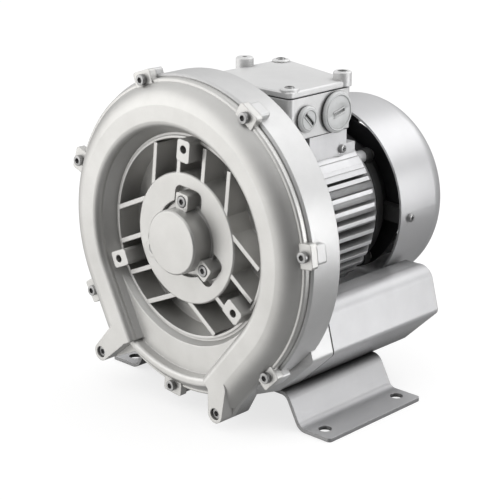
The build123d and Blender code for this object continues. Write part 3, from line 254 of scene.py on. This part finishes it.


# in each finish the occlusion distance, tone and range set its painted shade in closed-in places;
# dark and light are the material's own mottled tone
finishes = {
    "cover_casting": {
        "dark": (0.57, 0.565, 0.55), "light": (0.66, 0.655, 0.64), "mottle": 22.0,
        "rough": (0.36, 0.46), "metallic": 0.68, "grain": 1400.0, "bump": 0.2,
        "bumpDepth": 0.0003, "edge": 0.0011, "paintedShade": 0.018, "paintedShadeTone": (0.46, 0.455, 0.445)},
    "housing_casting": {
        "dark": (0.60, 0.60, 0.60), "light": (0.70, 0.70, 0.70), "mottle": 18.0,
        "rough": (0.35, 0.48), "metallic": 0.5, "grain": 1400.0, "bump": 0.2,
        "bumpDepth": 0.0003, "edge": 0.0011, "paintedShade": 0.03, "paintedShadeTone": (0.16, 0.16, 0.155)},
    "silencer_casting": {
        "dark": (0.56, 0.56, 0.57), "light": (0.64, 0.64, 0.65), "mottle": 18.0,
        "rough": (0.36, 0.48), "metallic": 0.4, "grain": 1400.0, "bump": 0.15,
        "bumpDepth": 0.0003, "edge": 0.0012, "paintedShade": 0.05, "paintedShadeTone": (0.02, 0.02, 0.02),
        "paintedShadeRange": (0.3, 0.8)},
    "frame_casting": {
        "dark": (0.64, 0.64, 0.65), "light": (0.74, 0.74, 0.75), "mottle": 40.0,
        "rough": (0.34, 0.50), "metallic": 0.5, "grain": 1200.0, "bump": 0.25,
        "bumpDepth": 0.0004, "edge": 0.0006, "paintedShade": 0.022, "paintedShadeTone": (0.01, 0.01, 0.01),
        "paintedShadeRange": (0.2, 0.58)},
    "impeller_casting": {
        "dark": (0.52, 0.52, 0.52), "light": (0.62, 0.62, 0.62), "mottle": 30.0,
        "rough": (0.35, 0.5), "metallic": 0.7, "grain": 1200.0, "bump": 0.2,
        "bumpDepth": 0.0003},
    "cowl_sheet": {
        "dark": (0.58, 0.58, 0.59), "light": (0.64, 0.64, 0.65), "mottle": 14.0,
        "rough": (0.32, 0.37), "metallic": 0.6, "grain": 1800.0, "bump": 0.015,
        "bumpDepth": 0.0001},
    "box_casting": {
        "dark": (0.72, 0.72, 0.72), "light": (0.79, 0.79, 0.79), "mottle": 22.0,
        "rough": (0.38, 0.52), "metallic": 0.35, "grain": 1400.0, "bump": 0.2,
        "bumpDepth": 0.0003, "edge": 0.0009, "paintedShade": 0.03, "paintedShadeTone": (0.16, 0.16, 0.155)},
    "bracket_steel": {
        "dark": (0.50, 0.50, 0.51), "light": (0.58, 0.58, 0.59), "mottle": 26.0,
        "rough": (0.34, 0.46), "metallic": 0.35, "grain": 900.0, "bump": 0.08,
        "bumpDepth": 0.0002, "edge": 0.0006, "paintedShade": 0.045, "paintedShadeTone": (0.015, 0.015, 0.015),
        "paintedShadeRange": (0.3, 0.72), "stretch": (1.0, 0.25, 1.0)},
    "screw_steel": {
        "dark": (0.30, 0.30, 0.30), "light": (0.42, 0.42, 0.42), "mottle": 160.0,
        "rough": (0.28, 0.42), "metallic": 0.9, "grain": 1600.0, "bump": 0.1,
        "bumpDepth": 0.0002, "edge": 0.0003},
    "shaft_steel": {
        "dark": (0.45, 0.45, 0.45), "light": (0.55, 0.55, 0.55), "mottle": 60.0,
        "rough": (0.22, 0.34), "metallic": 1.0, "grain": 1600.0, "bump": 0.06,
        "bumpDepth": 0.0001},
    "core_steel": {
        "dark": (0.20, 0.20, 0.21), "light": (0.28, 0.28, 0.29), "mottle": 90.0,
        "rough": (0.4, 0.55), "metallic": 0.8, "grain": 900.0, "bump": 0.2,
        "bumpDepth": 0.0002},
    "bearing_steel": {
        "dark": (0.62, 0.62, 0.64), "light": (0.70, 0.70, 0.72), "mottle": 60.0,
        "rough": (0.10, 0.2), "metallic": 1.0, "grain": 1500.0, "bump": 0.02,
        "bumpDepth": 0.0001},
    "cage_brass": {
        "dark": (0.55, 0.38, 0.14), "light": (0.68, 0.50, 0.22), "mottle": 80.0,
        "rough": (0.25, 0.4), "metallic": 1.0, "grain": 1500.0, "bump": 0.05,
        "bumpDepth": 0.0001},
    "winding_copper": {
        "dark": (0.35, 0.12, 0.05), "light": (0.55, 0.22, 0.10), "mottle": 300.0,
        "rough": (0.3, 0.5), "metallic": 0.7, "grain": 900.0, "bump": 0.4,
        "bumpDepth": 0.0005},
    "stud_brass": {
        "dark": (0.58, 0.42, 0.16), "light": (0.70, 0.53, 0.24), "mottle": 80.0,
        "rough": (0.25, 0.4), "metallic": 1.0, "grain": 1500.0, "bump": 0.05,
        "bumpDepth": 0.0001},
    "gasket_rubber": {
        "dark": (0.012, 0.012, 0.012), "light": (0.03, 0.03, 0.03), "mottle": 60.0,
        "rough": (0.6, 0.8), "metallic": 0.0, "grain": 1500.0, "bump": 0.1,
        "bumpDepth": 0.0002},
    "silencer_foam": {
        "dark": (0.02, 0.02, 0.022), "light": (0.07, 0.07, 0.075), "mottle": 700.0,
        "rough": (0.85, 0.95), "metallic": 0.0, "grain": 900.0, "bump": 0.9,
        "bumpDepth": 0.001},
    # painted shade: a near-black finish that stands in for the deep shadow in the gap in front of
    # the cowl
    "painted_shade_casting": {
        "dark": (0.05, 0.05, 0.05), "light": (0.09, 0.09, 0.09), "mottle": 40.0,
        "rough": (0.4, 0.55), "metallic": 0.4, "grain": 1200.0, "bump": 0.25,
        "bumpDepth": 0.0004, "edge": 0.0006},
    "plug_plastic": {
        "dark": (0.70, 0.71, 0.71), "light": (0.78, 0.79, 0.79), "mottle": 40.0,
        "rough": (0.3, 0.42), "metallic": 0.0, "grain": 1500.0, "bump": 0.08,
        "bumpDepth": 0.0002, "edge": 0.0006, "paintedShade": 0.004, "paintedShadeTone": (0.05, 0.05, 0.05)},
    "block_plastic": {
        "dark": (0.015, 0.015, 0.015), "light": (0.035, 0.035, 0.035), "mottle": 60.0,
        "rough": (0.4, 0.5), "metallic": 0.0, "grain": 1500.0, "bump": 0.1,
        "bumpDepth": 0.0002},
    "fan_plastic": {
        "dark": (0.02, 0.02, 0.022), "light": (0.04, 0.04, 0.043), "mottle": 30.0,
        "rough": (0.38, 0.5), "metallic": 0.0, "grain": 1500.0, "bump": 0.1,
        "bumpDepth": 0.0002},
}

slotOf = {part["node"]: part["material_slot"] for part in frame["record"]["subparts"]}
materials = {slot: surface(slot, look) for slot, look in finishes.items()}

floorMaterial, floorTree, floorShader = startMaterial("floorPaper")
floorNoise = noiseOf(floorTree, studio["floorMottle"])
floorDark = [studio["floorDip"] * part for part in studio["floorColor"]]
floorTone = rampOf(floorTree, floorNoise, floorDark, studio["floorColor"])
floorTree.links.new(floorTone, floorShader.inputs["Base Color"])
floorShader.inputs["Emission Color"].default_value = studio["backdrop"]
floorShader.inputs["Emission Strength"].default_value = studio["floorGlow"]
floorShader.inputs["Roughness"].default_value = studio["floorRough"]
floor.data.materials.append(floorMaterial)

# painted shade: the rear end shield gets a near-black finish because the gap in front of the cowl
# lies in deep shadow
slotOf["rear_end_shield"] = "painted_shade_casting"
for name, piece in nodes.items():
    for place in piece.material_slots:
        place.material = materials[slotOf[name]]
print("materials ready:", len(materials))

# New pieces are drawn in millimetres along +Z, then set in their place in metres
toMetres = 0.001
toMillimetres = 1000.0
toScale = Matrix.Diagonal((toMetres, toMetres, toMetres, 1.0))
axisHeight = 135.0
smoothAngle = 35.0
front, rear, right, up, down = (0, -1, 0), (0, 1, 0), (1, 0, 0), (0, 0, 1), (0, 0, -1)


def placeAt(point, direction):
    turn = Vector((0.0, 0.0, 1.0)).rotation_difference(Vector(direction))
    return toScale @ Matrix.Translation(point) @ turn.to_matrix().to_4x4()


def finishPiece(name, mesh, slot, smooth=smoothAngle):
    bmesh.ops.recalc_face_normals(mesh, faces=mesh.faces)
    data = bpy.data.meshes.new(name)
    mesh.to_mesh(data)
    mesh.free()
    piece = bpy.data.objects.new(name, data)
    bpy.context.scene.collection.objects.link(piece)
    data.materials.append(materials[slot])
    for face in data.polygons:
        face.use_smooth = True
    data.set_sharp_from_angle(angle=math.radians(smooth))
    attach(piece, "blower")
    return piece


def joinTo(mesh, part, where):
    bmesh.ops.transform(part, matrix=where, verts=part.verts[:])
    data = bpy.data.meshes.new("joining")
    part.to_mesh(data)
    part.free()
    mesh.from_mesh(data)
    bpy.data.meshes.remove(data)


def raised(mesh, face, height):
    lifted = bmesh.ops.extrude_discrete_faces(mesh, faces=[face])["faces"][0]
    bmesh.ops.translate(mesh, verts=lifted.verts, vec=(0.0, 0.0, height))
    return lifted


# Screws: heads with a rounded rim, a sunk drive and a shank below
screwDetail = {
    "headSides": 36, "hexSides": 6, "shankSides": 16, "rimSegments": 3,
    "crownInset": 0.18, "crownRise": 0.25, "socketRoom": 1.2, "crossArm": 0.28, "crossTip": 0.01,
}
socketFive = {
    "drive": "hex", "radius": 4.125, "height": 3.5, "rim": 0.45, "socket": 2.0, "depth": 2.2,
    "shank": 2.5}
socketFour = {
    "drive": "hex", "radius": 3.3, "height": 2.8, "rim": 0.35, "socket": 1.6, "depth": 1.8,
    "shank": 2.0}
crossFour = {
    "drive": "cross", "radius": 3.3, "height": 2.8, "rim": 1.1, "socket": 1.8, "depth": 1.3,
    "shank": 2.0}
hexSix = {"drive": "none", "radius": 5.55, "height": 3.9, "rim": 0.3, "shank": 3.0}


def hexRadius(angle, flat):
    return flat / math.cos(math.radians((math.degrees(angle) % 60.0) - 30.0))


def crossRadius(angle, reach):
    folded = math.degrees(angle) % 90.0
    folded = math.radians(min(folded, 90.0 - folded))
    if folded < screwDetail["crossTip"]:
        return reach
    return min(reach / math.cos(folded), screwDetail["crossArm"] * reach / math.sin(folded))


def headOf(size, length):
    part = bmesh.new()
    sides = screwDetail["hexSides"] if size["drive"] == "none" else screwDetail["headSides"]
    disc = bmesh.ops.create_circle(part, cap_ends=True, segments=sides, radius=size["radius"])
    top = raised(part, disc["verts"][0].link_faces[0], size["height"])
    bmesh.ops.bevel(
        part, geom=list(top.edges), offset=size["rim"], segments=screwDetail["rimSegments"],
        profile=0.5, affect="EDGES", material=-1)
    top = max(
        part.faces, key=lambda face: (round(face.calc_center_median().z, 3), face.calc_area()))
    if size["drive"] == "none":
        inset = size["radius"] * screwDetail["crownInset"]
        bmesh.ops.inset_region(part, faces=[top], thickness=inset)
        bmesh.ops.translate(part, verts=top.verts, vec=(0.0, 0.0, screwDetail["crownRise"]))
    else:
        inset = size["radius"] - size["rim"] - size["socket"] * screwDetail["socketRoom"]
        bmesh.ops.inset_region(part, faces=[top], thickness=inset)
        radiusOf = hexRadius if size["drive"] == "hex" else crossRadius
        for vert in top.verts:
            angle = math.atan2(vert.co.y, vert.co.x)
            radius = radiusOf(angle, size["socket"])
            vert.co.x = radius * math.cos(angle)
            vert.co.y = radius * math.sin(angle)
        raised(part, top, -size["depth"])
    shank = bmesh.ops.create_circle(
        part, cap_ends=True, segments=screwDetail["shankSides"], radius=size["shank"])
    raised(part, shank["verts"][0].link_faces[0], -length)
    return part


def ringPlaces(count, first, radius, y):
    places = []
    for index in range(count):
        angle = math.radians(first + index * 360.0 / count)
        places.append((radius * math.cos(angle), y, axisHeight + radius * math.sin(angle)))
    return places


screwSets = {
    "cover_screws": {
        "size": socketFive, "length": 14.0, "towards": front,
        "places": ringPlaces(count=7, first=263.6, radius=119.0, y=-84.0)},
    "leg_screws": {
        "size": socketFive, "length": 19.0, "towards": front,
        "places": [(-83.5, -89.0, 27.0), (41.5, -89.0, 12.5)]},
    "cap_screws": {
        "size": socketFive, "length": 16.0, "towards": front,
        "places": ringPlaces(count=3, first=83.6, radius=30.0, y=-85.0)},
    "silencer_screws": {
        "size": socketFive, "length": 132.9, "towards": rear,
        "places": [
            (side * x, 93.4, z) for side in (-1, 1) for x, z in ((86.0, 82.5), (45.5, 34.5))]},
    "tie_screws": {
        "size": socketFive, "length": 123.0, "towards": rear,
        "places": ringPlaces(count=4, first=45.0, radius=58.0, y=75.0)},
    "lid_screws": {
        "size": socketFour, "length": 14.5, "towards": up,
        "places": [
            (-39.0, -13.0, 240.0), (39.0, -13.0, 240.0), (41.0, 43.4, 240.0),
            (-39.0, 62.8, 240.0)]},
    "earth_screw": {
        "size": crossFour, "length": 5.0, "towards": right, "places": [(44.0, 40.0, 188.0)]},
    "foot_bolts": {
        "size": hexSix, "length": 9.0, "towards": down,
        "places": [(x, y, 24.0) for x in (-57.0, 57.0) for y in (-39.5, 39.5)]},
}

for node, screws in screwSets.items():
    mesh = bmesh.new()
    for place in screws["places"]:
        where = placeAt(place, screws["towards"])
        joinTo(mesh, headOf(screws["size"], screws["length"]), where)
    piece = finishPiece(node + "_detailed", mesh, "screw_steel")
    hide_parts(node)

cowlScrews = {
    "size": crossFour, "length": 8.0,
    "places": ringPlaces(count=4, first=-3.0, radius=77.0, y=84.0),
}
mesh = bmesh.new()
for place in cowlScrews["places"]:
    outward = Vector((place[0], 0.0, place[2] - axisHeight)).normalized()
    where = placeAt(place, outward)
    joinTo(mesh, headOf(cowlScrews["size"], cowlScrews["length"]), where)
piece = finishPiece("cowl_screws_detailed", mesh, "screw_steel")
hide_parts("cowl_screws")
print("screws ready")

# Blind plugs: raised rim and slot lips on both, on the box's right side
plugRelief = {
    "faceX": 50.2, "z": 218.5, "rimInset": 2.2, "rimSize": 0.62, "rimSides": 8, "rimSteps": 64,
    "lipOffset": 1.8, "lipLift": 0.1, "lipSize": (1.1, 0.9), "lipRound": 0.3, "lipSegments": 2,
    "plugs": {
        "small": {"y": -3.4, "radius": 9.5, "slant": 45.0, "reach": 1.2},
        "large": {"y": 29.5, "radius": 15.5, "slant": 103.0, "reach": 0.85},
    },
}


def rimOf(radius):
    part = bmesh.new()
    bmesh.ops.create_circle(part, segments=plugRelief["rimSides"], radius=plugRelief["rimSize"])
    upright = Matrix.Rotation(math.radians(90.0), 4, "X")
    bmesh.ops.transform(
        part, matrix=Matrix.Translation((radius, 0.0, 0.0)) @ upright, verts=part.verts[:])
    bmesh.ops.spin(
        part, geom=part.verts[:] + part.edges[:], cent=(0.0, 0.0, 0.0), axis=(0.0, 0.0, 1.0),
        dvec=(0.0, 0.0, 0.0), angle=math.radians(360.0), steps=plugRelief["rimSteps"],
        use_merge=True, use_duplicate=False)
    return part


def lipOf(length):
    part = bmesh.new()
    size = Matrix.Diagonal((length, *plugRelief["lipSize"], 1.0))
    bmesh.ops.create_cube(part, size=1.0, matrix=size)
    bmesh.ops.bevel(
        part, geom=part.edges[:], offset=plugRelief["lipRound"],
        segments=plugRelief["lipSegments"], profile=0.5, affect="EDGES", material=-1)
    return part


for which, plug in plugRelief["plugs"].items():
    mesh = bmesh.new()
    face = placeAt((plugRelief["faceX"], plug["y"], plugRelief["z"]), right)
    joinTo(mesh, rimOf(plug["radius"] - plugRelief["rimInset"]), face)
    slant = Matrix.Rotation(math.radians(plug["slant"]), 4, "Z")
    for side in (-1, 1):
        beside = Matrix.Translation((0.0, side * plugRelief["lipOffset"], plugRelief["lipLift"]))
        joinTo(mesh, lipOf(plug["reach"] * plug["radius"]), face @ (slant @ beside))
    finishPiece(which + "_plug_relief", mesh, "plug_plastic")

# The large plug is the solid's own mesh with its slot shortened and turned
turnedPlug = {
    "turn": -12.0, "slotAngle": 25.0, "slotShare": 0.65, "slotDepth": 2.0, "slotReach": 12.0,
    "weld": 0.00001,
}
mesh = bmesh.new()
mesh.from_mesh(nodes["large_gland_plug"].data)
bmesh.ops.remove_doubles(mesh, verts=mesh.verts, dist=turnedPlug["weld"])
largeY = plugRelief["plugs"]["large"]["y"]
onAxis = Matrix.Translation((0.0, -toMetres * largeY, -toMetres * plugRelief["z"]))
bmesh.ops.transform(mesh, matrix=onAxis, verts=mesh.verts)
slotAngle = math.radians(turnedPlug["slotAngle"])
slotDirection = Vector((0.0, math.cos(slotAngle), math.sin(slotAngle)))
for vert in mesh.verts:
    fromFace = plugRelief["faceX"] - toMillimetres * vert.co.x
    fromAxis = toMillimetres * math.hypot(vert.co.y, vert.co.z)
    if fromFace < turnedPlug["slotDepth"] and fromAxis < turnedPlug["slotReach"]:
        along = vert.co.dot(slotDirection)
        vert.co -= (1.0 - turnedPlug["slotShare"]) * along * slotDirection
turn = onAxis.inverted() @ Matrix.Rotation(math.radians(turnedPlug["turn"]), 4, "X")
bmesh.ops.transform(mesh, matrix=turn, verts=mesh.verts)
piece = finishPiece("large_plug_turned", mesh, "plug_plastic")
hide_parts("large_gland_plug")

# Pipe threads in the two ports, each a spun triangle
thread = {
    "x": 68.0, "z": 58.0, "startY": 78.6, "radius": 19.9, "tooth": 1.15,
    "pitch": 2.309, "turns": 6.5, "stepsPerTurn": 32, "smooth": 20.0,
}
for which, side in (("left", -1), ("right", 1)):
    mesh = bmesh.new()
    bmesh.ops.create_circle(mesh, segments=3, radius=thread["tooth"])
    inwards = Matrix.Rotation(math.radians(90.0), 4, "Z")
    bmesh.ops.transform(
        mesh, matrix=Matrix.Translation((thread["radius"], 0.0, 0.0)) @ inwards,
        verts=mesh.verts[:])
    bmesh.ops.spin(
        mesh, geom=mesh.verts[:] + mesh.edges[:], cent=(0.0, 0.0, 0.0), axis=(0.0, 1.0, 0.0),
        dvec=(0.0, thread["pitch"] / thread["stepsPerTurn"], 0.0),
        angle=math.radians(360.0 * thread["turns"]),
        steps=round(thread["stepsPerTurn"] * thread["turns"]),
        use_merge=False, use_duplicate=False)
    openEnds = [edge for edge in mesh.edges if edge.is_boundary]
    bmesh.ops.holes_fill(mesh, edges=openEnds, sides=3)
    into = toScale @ Matrix.Translation((side * thread["x"], thread["startY"], thread["z"]))
    bmesh.ops.transform(mesh, matrix=into, verts=mesh.verts[:])
    finishPiece(which + "_port_thread", mesh, "silencer_casting", thread["smooth"])
print("plugs and port threads ready")
